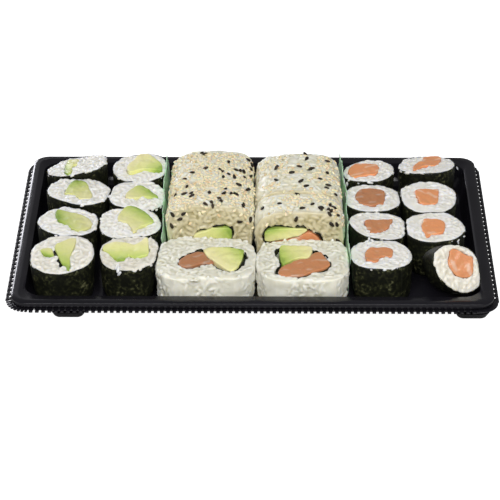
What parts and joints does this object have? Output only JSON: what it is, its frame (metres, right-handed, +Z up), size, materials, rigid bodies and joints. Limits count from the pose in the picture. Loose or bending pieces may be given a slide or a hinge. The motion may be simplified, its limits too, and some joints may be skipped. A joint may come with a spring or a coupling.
{
  "type": "takeaway sushi tray",
  "caption": "Shallow black takeaway tray with a toothed rim, packed with thin nori rolls of avocado and of salmon, inside-out rolls under sesame, and green film strips.",
  "frame": {"origin": "on the ground, under the middle of the tray", "axes": "+X along the tray's long side, +Y from its front to its back, +Z up"},
  "size_m": [0.22, 0.14, 0.0373],
  "materials": {
    "tray_plastic": "glossy black vacuum-formed sheet",
    "divider_film": "thin green translucent film",
    "sushi_rice": "moist, slightly translucent cooked short-grain rice",
    "nori_sheet": "dark green dried seaweed, slightly glossy",
    "avocado_flesh": "moist, cream in the middle to green at the skin side",
    "salmon_flesh": "moist raw salmon with pale lines of fat",
    "black_sesame": "black seed, slightly glossy",
    "toasted_sesame": "toasted beige seed"
  },
  "bodies": {
    "root": {"tray": "tray_plastic", "divider_left": "divider_film", "divider_right": "divider_film", "avocado_maki_1": "nori_sheet", "avocado_maki_2": "nori_sheet", "avocado_maki_3": "nori_sheet", "avocado_maki_4": "nori_sheet", "avocado_maki_5": "nori_sheet", "avocado_maki_6": "nori_sheet", "avocado_maki_7": "nori_sheet", "avocado_maki_8": "nori_sheet", "salmon_maki_1": "nori_sheet", "salmon_maki_2": "nori_sheet", "salmon_maki_3": "nori_sheet", "salmon_maki_4": "nori_sheet", "salmon_maki_5": "nori_sheet", "salmon_maki_6": "nori_sheet", "salmon_maki_7": "nori_sheet", "salmon_maki_8": "nori_sheet", "uramaki_1": "sushi_rice", "uramaki_2": "sushi_rice", "uramaki_3": "sushi_rice", "uramaki_4": "sushi_rice", "uramaki_5": "sushi_rice", "uramaki_6": "sushi_rice", "uramaki_7": "sushi_rice", "uramaki_8": "sushi_rice"}
  },
  "joints": []
}
